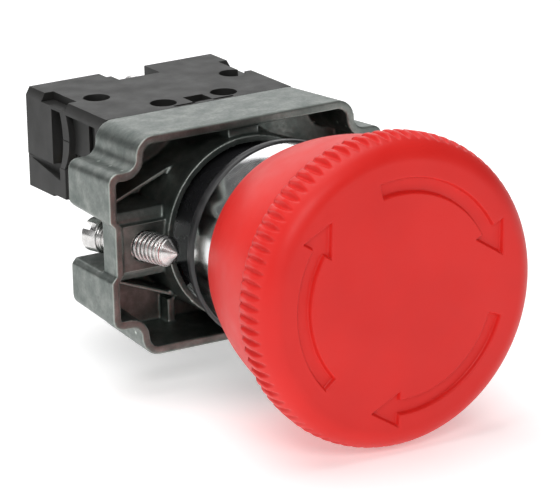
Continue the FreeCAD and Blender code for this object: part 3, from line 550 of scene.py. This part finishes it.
def mushroom_profile(low, high):
    """(radius, position) from the middle of the face, round the rim and skirt, to the bore."""
    face, skirt_end = low.y, high.y
    radius = high.x
    rim_radius = radius - CAP_ROUND
    edge = face + CAP_DOME
    coarse = np.linspace(0.4, FACE_COARSE_END, 12)
    fine = np.arange(FACE_COARSE_END + FACE_FINE_STEP, rim_radius - 0.02, FACE_FINE_STEP)
    rings = [(r, face + CAP_DOME * (r / rim_radius) ** 2) for r in (*coarse, *fine)]
    rim = [
        (rim_radius + CAP_ROUND * math.sin(a), edge + CAP_ROUND_DEPTH * (1 - math.cos(a)))
        for a in np.linspace(0, math.pi / 2, 28)
    ]
    front = edge + CAP_ROUND_DEPTH
    band = [
        (radius + (KNURL_REAR_RADIUS - radius) * share, front + (KNURL_REAR - front) * share)
        for share in np.linspace(0, 0.88, 9)[1:]
    ]
    corner = [
        (KNURL_REAR_RADIUS - 0.4 + 0.42 * math.cos(a), KNURL_REAR - 0.4 + 0.42 * math.sin(a))
        for a in np.linspace(0.15, math.pi / 2, 6)
    ]
    shoulder = [(SKIRT_TOP[0] + 0.35, KNURL_REAR + 0.02), (SKIRT_TOP[0] + 0.1, KNURL_REAR + 0.14)]
    end = (SKIRT_END[0], skirt_end - 0.15)
    skirt = arc_through(SKIRT_TOP, SKIRT_MIDDLE, end, 20)
    bore = SKIRT_END[0] - SKIRT_LIP
    hem = [(end[0] - 0.15, skirt_end), (bore + 0.15, skirt_end), (bore, skirt_end - 0.15)]
    hollow = SKIRT_TOP[0] - CAP_WALL
    floor = face + CAP_WALL
    inside = [
        (bore, HOLLOW_END),
        (hollow, SKIRT_TOP[1]),
        (hollow, floor + 0.2),
        (hollow - 0.2, floor),
        (BOSS_RADIUS + 0.2, floor),
        (BOSS_RADIUS, floor + 0.2),
        (BOSS_RADIUS, BOSS_END - 0.2),
        (BOSS_RADIUS - 0.2, BOSS_END),
        (STEM_HOLE_RADIUS, BOSS_END),
        (STEM_HOLE_RADIUS, STEM_HOLE_END),
    ]
    return rings + rim + band + corner + shoulder + skirt + hem + inside, len(rings)


def make_mushroom():
    """The red head: scallops round the rim, three sunk arrows on the face, hollow behind."""
    low, high = span("mushroom_cap")
    profile, face_rings = mushroom_profile(low, high)
    segments = KNURL_COUNT * KNURL_SAMPLES
    angles = np.arange(segments) * TAU / segments
    cosine, sine = np.cos(angles), np.sin(angles)
    across = ((np.arange(segments) % KNURL_SAMPLES) / KNURL_SAMPLES - 0.5) * TAU / KNURL_COUNT
    groove = KNURL_ROOT + KNURL_SCALLOP * (across * KNURL_ROOT) ** 2
    grid = np.zeros((len(profile), segments, 3))
    for row, (r, y) in enumerate(profile):
        reach = np.full(segments, r)
        if r > SKIRT_TOP[0] + 0.4 and y < KNURL_REAR + 0.03:
            reach = np.minimum(soft_minimum(reach, groove, KNURL_BLEND), r)
        grid[row, :, 0] = reach * cosine
        grid[row, :, 1] = y
        grid[row, :, 2] = reach * sine
    outline = arrow_outline()
    flat = grid[:face_rings, :, [0, 2]].reshape(-1, 2)
    sunk = np.zeros(len(flat))
    for turn in range(ARROW_COUNT):
        angle = TAU * turn / ARROW_COUNT
        rotation = np.array(
            [[math.cos(angle), -math.sin(angle)], [math.sin(angle), math.cos(angle)]]
        )
        inside_by = distance_inside(flat @ rotation, outline)
        sunk = np.maximum(sunk, smoothstep(-0.05, ARROW_EDGE, inside_by))
    floor = low.y + CAP_DOME + ARROW_DEPTH
    depth = (floor - grid[:face_rings, :, 1].reshape(-1)) * sunk
    grid[:face_rings, :, 1] += depth.reshape(face_rings, segments)

    vertices = grid.reshape(-1, 3).tolist()
    faces = ring_faces(len(profile), segments, False)
    for row, y in ((0, low.y), (len(profile) - 1, STEM_HOLE_END)):
        centre = len(vertices)
        vertices.append((0.0, y, 0.0))
        base = row * segments
        for step in range(segments):
            faces.append((centre, base + step, base + (step + 1) % segments))
    return finish_mesh("mushroom_head", "mushroom_cap", vertices, faces)


# ---------------------------------------------------------------- bezel, gasket and barrel

BEZEL_FACE_BORE = 9.4
BEZEL_FACE_WALL = 1.3
BEZEL_BORE = 11.6
GASKET_BORE = 11.0
BARREL_RADIUS = 10.95
BARREL_BORE = 8.0
FLANGE_RADIUS = 11.6
FLANGE_REAR = -1.6
SEAL_SEAT_RADIUS = 5.6
SEAL_SEAT_FRONT, SEAL_SEAT_REAR = 1.4, 3.0
STEM_BORE = 4.05
STEM_BORE_FRONT = 0.2
LUG_COUNT = 3
LUG_HALF = 1.6
LUG_INNER, LUG_OUTER = 9.9, 11.38
LUG_FRONT, LUG_REAR = 8.2, 10.2


def make_bezel():
    low, high = span("bezel_ring")
    outer = high.x
    return lathe(
        "chrome_bezel",
        "bezel_ring",
        rounded(
            [
                (BEZEL_FACE_BORE, low.y, 0.2),
                (outer, low.y, 0.7),
                (outer, high.y, 0.25),
                (BEZEL_BORE, high.y, 0.1),
                (BEZEL_BORE, low.y + BEZEL_FACE_WALL),
                (BEZEL_FACE_BORE, low.y + BEZEL_FACE_WALL, 0.2),
            ],
            8,
        ),
    )


def make_gasket():
    low, high = span("panel_gasket")
    outer = high.x
    return lathe(
        "rubber_gasket",
        "panel_gasket",
        rounded(
            [
                (GASKET_BORE, low.y, 0.1),
                (outer, low.y, 0.55),
                (outer, high.y, 0.55),
                (GASKET_BORE, high.y, 0.1),
            ],
            8,
        ),
    )


def make_barrel():
    """The black tube behind the bezel, with three lugs that lock it in the bracket."""
    low, high = span("head_barrel")
    profile = rounded(
        [
            (BARREL_BORE, low.y, 0.3),
            (FLANGE_RADIUS, low.y, 0.1),
            (FLANGE_RADIUS, FLANGE_REAR),
            (BARREL_RADIUS, FLANGE_REAR),
            (BARREL_RADIUS, high.y, 0.5),
            (BARREL_BORE, high.y, 0.2),
            (BARREL_BORE, SEAL_SEAT_REAR),
            (SEAL_SEAT_RADIUS, SEAL_SEAT_REAR),
            (SEAL_SEAT_RADIUS, SEAL_SEAT_FRONT),
            (STEM_BORE, SEAL_SEAT_FRONT),
            (STEM_BORE, STEM_BORE_FRONT),
            (BARREL_BORE, STEM_BORE_FRONT),
        ],
        6,
    )
    lathe("barrel_tube", "head_barrel", profile)
    lugs = []
    for turn in range(LUG_COUNT):
        angle = TAU * turn / LUG_COUNT
        block = [
            (-LUG_HALF, LUG_INNER),
            (LUG_HALF, LUG_INNER),
            (LUG_HALF, LUG_OUTER),
            (-LUG_HALF, LUG_OUTER),
        ]
        turned = [
            (x * math.cos(angle) - z * math.sin(angle), x * math.sin(angle) + z * math.cos(angle))
            for x, z in block
        ]
        lugs.append(prism(turned, "Y", LUG_FRONT, LUG_REAR))
    piece = solid("barrel_lugs", lugs)
    bevel(piece, 0.15)
    return adopt(piece, "head_barrel")


# ---------------------------------------------------------------- die-cast bracket

VOXEL, QUICK_VOXEL = 0.18, 0.24


def make_bracket():
    """The casting with every edge softened as a die and tumbling leave it."""
    piece = copy_of("fixing_bracket", "bracket_casting")
    bpy.context.scene.collection.objects.link(piece)
    voxel = piece.modifiers.new("voxel", "REMESH")
    voxel.mode = "VOXEL"
    voxel.voxel_size = VOXEL * MM
    soften = piece.modifiers.new("soften", "SMOOTH")
    soften.factor = 0.5
    soften.iterations = 2
    apply_modifiers(piece)
    bpy.context.scene.collection.objects.unlink(piece)
    return adopt(piece, "fixing_bracket")


# ---------------------------------------------------------------- clamp screws

THREAD_PITCH = 0.7
THREAD_DEPTH = 0.4
SHANK = 12.7
HEAD = 2.5
CONE = 1.5
CREST = 2.0
HEAD_RADIUS = 2.25
CLAMP_TIP_X, CLAMP_TIP_Y, CLAMP_TILT = 13.5, 1.8, 16.7
CLAMP_SLOT_TURN = 45
SCREW_SEGMENTS = 72
ROWS_PER_THREAD = 16
SLOT_HALF, SLOT_LENGTH, SLOT_DEPTH = 0.55, 4, 1.4
TIP_RADIUS = 0.12
NECK_DEPTH = 0.3


def threaded_radius(along, turn):
    """Radius of the screw at a height, for a turn given as a share of the full circle."""
    phase = (along / THREAD_PITCH - turn) % 1.0
    flank = smoothstep(0.15, 0.75, 1 - abs(2 * phase - 1))
    fade = smoothstep(0.0, 0.35, along - CONE - 0.25) * smoothstep(0.0, 0.5, SHANK - along)
    thread = CREST - THREAD_DEPTH * flank * fade
    cone = TIP_RADIUS + along * (CREST - 0.3) / CONE
    neck_start = smoothstep(0.0, 0.12, along - CONE + 0.1)
    neck_end = smoothstep(0.0, 0.12, CONE + 0.28 - along)
    neck = NECK_DEPTH * neck_start * neck_end
    return np.minimum(thread - neck, cone)


def make_clamp_screw(node, side):
    """Slotted cheese-head screw with a turned cone point and a helical thread."""
    segments = SCREW_SEGMENTS
    turns = np.arange(segments) / segments
    cosine, sine = np.cos(TAU * turns), np.sin(TAU * turns)
    grid = []
    for along in np.linspace(0.0, SHANK, int(SHANK / THREAD_PITCH * ROWS_PER_THREAD)):
        radius = threaded_radius(along, turns)
        grid.append(np.stack([radius * cosine, np.full(segments, along), radius * sine], 1))
    end = SHANK + HEAD
    outline = [(CREST, SHANK), (HEAD_RADIUS, SHANK, 0.12), (HEAD_RADIUS, end, 0.22), (0.5, end)]
    for radius, along in rounded(outline, 5):
        grid.append(np.stack([radius * cosine, np.full(segments, along), radius * sine], 1))
    vertices = np.concatenate(grid).tolist()
    faces = ring_faces(len(grid), segments, False)
    for row, along in ((0, 0.0), (len(grid) - 1, end)):
        centre = len(vertices)
        vertices.append((0.0, along, 0.0))
        base = row * segments
        for step in range(segments):
            faces.append((centre, base + step, base + (step + 1) % segments))
    piece = bpy.data.objects.new(node + "_thread", new_mesh(node + "_thread", vertices, faces))
    slot = [
        (-SLOT_HALF, -SLOT_LENGTH),
        (SLOT_HALF, -SLOT_LENGTH),
        (SLOT_HALF, SLOT_LENGTH),
        (-SLOT_HALF, SLOT_LENGTH),
    ]
    carve(piece, [prism(slot, "Y", end - SLOT_DEPTH, end + 1)])
    place = (
        Matrix.Translation(Vector((side * CLAMP_TIP_X, CLAMP_TIP_Y, 0)) * MM)
        @ Matrix.Rotation(-side * math.radians(CLAMP_TILT), 4, "Z")
        @ Matrix.Rotation(side * math.radians(CLAMP_SLOT_TURN), 4, "Y")
    )
    piece.data.transform(place)
    return adopt(piece, node)


# ---------------------------------------------------------------- contact block

# The wells and the latch hole sit a little to the right of the block's middle.
FEATURE_SHIFT = 0.8
WELL_RADIUS = 1.8
REAR_WELL_X, REAR_WELL_Y = 10.4, 29.1
FRONT_WELL_X, FRONT_WELL_Y, FRONT_WELL_FLOOR = 4.6, 21.5, 10.6
SCREW_HOLE_RADIUS, SCREW_HOLE_Z = 1.05, 12.6
SLAB = 1.5
BASE_FLOOR = 1.4
CHAMBER_HALF, CHAMBER_FRONT, CHAMBER_REAR = 6.4, 20.2, 38.2
RECESS_INNER, RECESS_FRONT, RECESS_REAR = 7.4, 20.8, 32.6
BLOCK_FRONT_CUT, BLOCK_REAR_CUT = 17, 41
OUTSIDE = 16
PILLAR_DEPTH = 1.3
BAND_DROP, BAND_INSET = 12.7, 0.7
SEAM_Z, SEAM_WIDTH, SEAM_DEPTH = 9.0, 0.12, 0.15
BLOCK_BEVEL = 0.14


def box(x_low, x_high, y_low, y_high, z_low, z_high):
    outline = [(x_low, y_low), (x_high, y_low), (x_high, y_high), (x_low, y_high)]
    return prism(outline, "Z", z_low, z_high)


def round_hole(x, y, radius, z_low, z_high):
    angles = np.arange(HOLE_SIDES) * TAU / HOLE_SIDES
    outline = [(x + radius * math.cos(a), y + radius * math.sin(a)) for a in angles]
    return prism(outline, "Z", z_low, z_high)


def mirrored(shape, side):
    """A shape as it is for side 1, or its mirror image across X = 0 for side -1."""
    vertices, faces = shape
    return [(side * x, y, z) for x, y, z in vertices], faces


def make_block_cover():
    """Upper half of the contact block: bevelled long edges, wells, a latch hole, open wire
    recesses with a waisted pillar, and a notch for the fixing screw."""
    low, high = span("block_cover")
    half, seam, top = high.x, low.z, high.z
    slab = top - SLAB
    cuts = [
        box(-CHAMBER_HALF, CHAMBER_HALF, CHAMBER_FRONT, CHAMBER_REAR, seam - 1, 10.0),
        box(-0.4, 2.5, 19.4, 22.3, 11.0, top + 1),
        box(2.4, 5.5, 18.9, 19.45, 12.5, top + 1),
        box(-3.5, -0.3, 18.9, 19.45, 12.5, top + 1),
        box(-3.4, 3.6, 35.3, 41, 11.2, top + 1),
        box(-2.25, 2.25, 17, 21, 5.05, 9.55),
    ]
    adds = []
    screw = [
        (SCREW_HOLE_RADIUS * math.cos(a), SCREW_HOLE_Z + SCREW_HOLE_RADIUS * math.sin(a))
        for a in np.arange(32) * TAU / 32
    ]
    cuts.append(prism(screw, "Y", BLOCK_FRONT_CUT, 36))
    adds.append(box(-3.5, -2.7, 35.0, 37.5, 11.0, top))
    for side in (1, -1):
        recess = box(RECESS_INNER, OUTSIDE, RECESS_FRONT, RECESS_REAR, seam - 1, slab)
        cuts.append(mirrored(recess, side))
        cuts.append(mirrored(box(5.8, 8.0, 24.9, 28.1, seam - 1, seam + 0.8), side))
        cuts.append(mirrored(box(12.7, OUTSIDE, 28.9, 35.3, 13.0, top + 1), side))
        rear_x = side * REAR_WELL_X + FEATURE_SHIFT
        front_x = side * FRONT_WELL_X + FEATURE_SHIFT
        cuts.append(round_hole(rear_x, REAR_WELL_Y, WELL_RADIUS, slab - 1, top + 1))
        cuts.append(round_hole(front_x, FRONT_WELL_Y, WELL_RADIUS, FRONT_WELL_FLOOR, top + 1))
        wedge = [
            (half + 0.2, BAND_DROP),
            (half + 0.2, top + 0.2),
            (half - BAND_INSET, top + 0.2),
        ]
        cuts.append(mirrored(prism(wedge, "Y", BLOCK_FRONT_CUT, BLOCK_REAR_CUT), side))
        pillar = arc_through((30.4, 12.8), (29.6, 9.0), (30.6, 5.0), 14)
        pillar += arc_through((29.5, 5.0), (27.9, 9.3), (28.8, 12.8), 14)
        adds.append(mirrored(prism(pillar, "X", half - PILLAR_DEPTH, half), side))
        adds.append(mirrored(box(12.2, 13.2, 20.6, 24.2, 8.6, slab + 0.1), side))
        # A thin sheet of the cover's plastic across each wire recess, put there to stand in for
        # shade: it hides the terminal screw and washer except for a small window.
        adds.append(mirrored(box(13.3, 13.7, 24.0, 30.2, 7.3, slab + 0.1), side))
    piece = solid("cover_moulding", [box(-half, half, low.y, high.y, seam, top)])
    carve(piece, cuts)
    carve(piece, adds, "UNION")
    seam_line = box(half - SEAM_DEPTH, half + 1, 27, 31, SEAM_Z, SEAM_Z + SEAM_WIDTH)
    carve(piece, [mirrored(seam_line, side) for side in (1, -1)])
    bevel(piece, BLOCK_BEVEL)
    return adopt(piece, "block_cover")


def make_block_base():
    """Lower half: a sloping facet under the rear panel, a stepped underside and low front walls
    below the wire recesses."""
    low, high = span("block_base")
    half, top = high.x, high.z
    floor = low.z + BASE_FLOOR
    cuts = [
        box(-CHAMBER_HALF, CHAMBER_HALF, CHAMBER_FRONT, CHAMBER_REAR, floor, top + 1),
        box(-half - 1, half + 1, BLOCK_FRONT_CUT, 32.8, low.z - 1, low.z + 0.3),
    ]
    adds = []
    for side in (1, -1):
        recess = box(RECESS_INNER, OUTSIDE, RECESS_FRONT, 25.4, floor, top + 1)
        cuts.append(mirrored(recess, side))
        cuts.append(mirrored(box(half - 0.35, OUTSIDE, BLOCK_FRONT_CUT, 29.4, 0, top + 1), side))
        cuts.append(round_hole(side * REAR_WELL_X, 29.2, 1.55, floor, top + 1))
        depth = half - PILLAR_DEPTH
        facet = [
            (half + 0.1, 39.3, 4.6),
            (half + 0.1, 31.0, top + 0.1),
            (half + 0.1, 30.9, 3.2),
            (depth, 31.0, top + 0.1),
            (depth, 30.9, 3.2),
            (half + 0.1, 39.3, top + 0.1),
        ]
        faces = [(0, 1, 2), (0, 2, 4), (0, 4, 3), (0, 3, 5), (5, 3, 1), (0, 5, 1), (1, 3, 4, 2)]
        cuts.append(mirrored((facet, faces), side))
        adds.append(mirrored(box(13.45, half - 0.35, 19.4, 28.9, floor, 5.85), side))
    piece = solid("base_moulding", [box(-half, half, low.y, high.y, low.z, top)])
    carve(piece, cuts)
    carve(piece, adds, "UNION")
    bevel(piece, BLOCK_BEVEL)
    return adopt(piece, "block_base")


# ---------------------------------------------------------------- springs

SPRING_STEPS_PER_TURN = 40
SPRING_SECTION = 10
SPRING_CLOSED_TURNS = 0.9
SPRING_EASE = 0.12


def make_spring(node, turns, wire):
    """A compression spring about Y with closed ends, in the space of its CAD node."""
    low, high = span(node)
    centre_x, centre_z = (low.x + high.x) / 2, (low.z + high.z) / 2
    radius = (high.x - low.x) / 2 - wire
    start, length = low.y + wire, high.y - low.y - 2 * wire
    steps = turns * SPRING_STEPS_PER_TURN
    section = SPRING_SECTION
    vertices = []
    for step in range(steps + 1):
        share = step / steps
        angle = TAU * turns * share
        rise = start + length * smoothstep_ends(share, SPRING_CLOSED_TURNS / turns)
        for corner in range(section):
            bend = TAU * corner / section
            reach = radius + wire * math.cos(bend)
            vertices.append(
                (
                    centre_x + reach * math.cos(angle),
                    rise + wire * math.sin(bend),
                    centre_z + reach * math.sin(angle),
                )
            )
    faces = ring_faces(steps + 1, section, False)
    faces.append(tuple(range(section))[::-1])
    faces.append(tuple(steps * section + corner for corner in range(section)))
    return finish_mesh(node + "_coil", node, vertices, faces)


def smoothstep_ends(share, closed):
    """Rise of a spring's wire: flat over the closed share at each end, even in between."""
    flat = closed * 0.5
    middle = min(1.0, max(0.0, (share - flat) / (1 - 2 * flat)))
    ease = SPRING_EASE
    if middle < ease:
        risen = middle * middle / (2 * ease)
    elif middle > 1 - ease:
        risen = 1 - ease - (1 - middle) ** 2 / (2 * ease)
    else:
        risen = middle - ease / 2
    return risen / (1 - ease)


# ---------------------------------------------------------------- stage, light and camera

FLOOR_HALF = 3.0
FLOOR_GAP = 0.0002
FLOOR_GLOW = 0.35
WORLD_STRENGTH = 0.14


def make_stage():
    """A plain pale floor just under the object."""
    low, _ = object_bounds()
    size = FLOOR_HALF
    mesh = bpy.data.meshes.new("floor")
    z = low[2] - FLOOR_GAP
    corners = [(-size, -size, z), (size, -size, z), (size, size, z), (-size, size, z)]
    mesh.from_pydata(corners, [], [(0, 1, 2, 3)])
    floor = bpy.data.objects.new("floor", mesh)
    bpy.context.scene.collection.objects.link(floor)
    material, nodes, links, shader = new_material("pale_floor")
    vector = object_coordinates(nodes, links)
    links.new(
        ramp(nodes, links, noise(nodes, links, vector, 0.01), [(0.3, 0.90), (0.7, 0.93)]),
        shader.inputs["Base Color"],
    )
    shader.inputs["Roughness"].default_value = 0.7
    shader.inputs["Emission Color"].default_value = (1, 1, 1, 1)
    shader.inputs["Emission Strength"].default_value = FLOOR_GLOW
    mesh.materials.append(material)


def area_light(name, place, size, power):
    """A soft rectangular light, place and size in metres, turned towards the origin."""
    data = bpy.data.lights.new(name, "AREA")
    data.shape = "RECTANGLE"
    data.size, data.size_y = size
    data.energy = power
    light = bpy.data.objects.new(name, data)
    light.location = place
    light.rotation_euler = (-Vector(place)).to_track_quat("-Z", "Y").to_euler()
    bpy.context.scene.collection.objects.link(light)


def light_scene():
    """Soft studio light from above and in front, with weaker fills at the left and the back."""
    world = bpy.data.worlds.new("studio")
    world.use_nodes = True
    background = world.node_tree.nodes["Background"]
    background.inputs["Color"].default_value = (1, 1, 1, 1)
    background.inputs["Strength"].default_value = WORLD_STRENGTH
    bpy.context.scene.world = world
    area_light("top", (-0.10, 0.15, 0.75), (0.8, 0.7), 5.0)
    area_light("front", (-0.35, -0.60, 0.50), (0.4, 0.3), 2.5)
    area_light("left", (-0.80, 0.10, 0.25), (0.4, 0.5), 0.75)
    area_light("back", (0.35, 0.85, 0.30), (1.2, 0.4), 2.4)


CAMERA_AZIMUTH, CAMERA_ELEVATION, CAMERA_ROLL = -30.68, 17.04, -1.61
CAMERA_DISTANCE = 650.0
CAMERA_RIGHT, CAMERA_UP = 3.997, -3.237
CAMERA_PIVOT_Y = 6.6
SENSOR_WIDTH = 36.0
LENS = 321.13


def make_camera():
    """The viewpoint: 31 degrees to the left of the button's axis and 17 degrees above it."""
    azimuth, elevation = math.radians(CAMERA_AZIMUTH), math.radians(CAMERA_ELEVATION)
    roll = math.radians(CAMERA_ROLL)
    back = Vector(
        (
            math.sin(azimuth) * math.cos(elevation),
            -math.cos(azimuth) * math.cos(elevation),
            math.sin(elevation),
        )
    )
    right = Vector((math.cos(azimuth), math.sin(azimuth), 0))
    up = back.cross(right)
    right, up = (
        right * math.cos(roll) + up * math.sin(roll),
        up * math.cos(roll) - right * math.sin(roll),
    )
    pivot = Vector((0, CAMERA_PIVOT_Y, 0))
    place = pivot + back * CAMERA_DISTANCE + right * CAMERA_RIGHT + up * CAMERA_UP
    data = bpy.data.cameras.new("camera")
    data.sensor_width = SENSOR_WIDTH
    data.lens = LENS
    data.clip_start = 0.01
    camera = bpy.data.objects.new("camera", data)
    rotation = Matrix((right, up, back)).transposed().to_4x4()
    camera.matrix_world = Matrix.Translation(place * MM) @ rotation
    bpy.context.scene.collection.objects.link(camera)
    bpy.context.scene.camera = camera


# ---------------------------------------------------------------- build

for node_name, cad_object in frame["nodes"].items():
    cad_object.data.materials.clear()
    cad_object.data.materials.append(MATERIALS[SLOT_OF[node_name]])

make_mushroom()
make_bezel()
make_gasket()
make_barrel()
make_bracket()
make_clamp_screw("clamp_screw_left", -1)
make_clamp_screw("clamp_screw_right", 1)
make_block_cover()
make_block_base()
main_spring = make_spring("return_spring", 6, 0.42)
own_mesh(main_spring)
back_spring = make_spring("plunger_spring", 6, 0.2)
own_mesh(back_spring)
make_spring("contact_spring", 4, 0.12)

make_stage()
light_scene()
make_camera()
bpy.context.scene.view_settings.view_transform = "Standard"
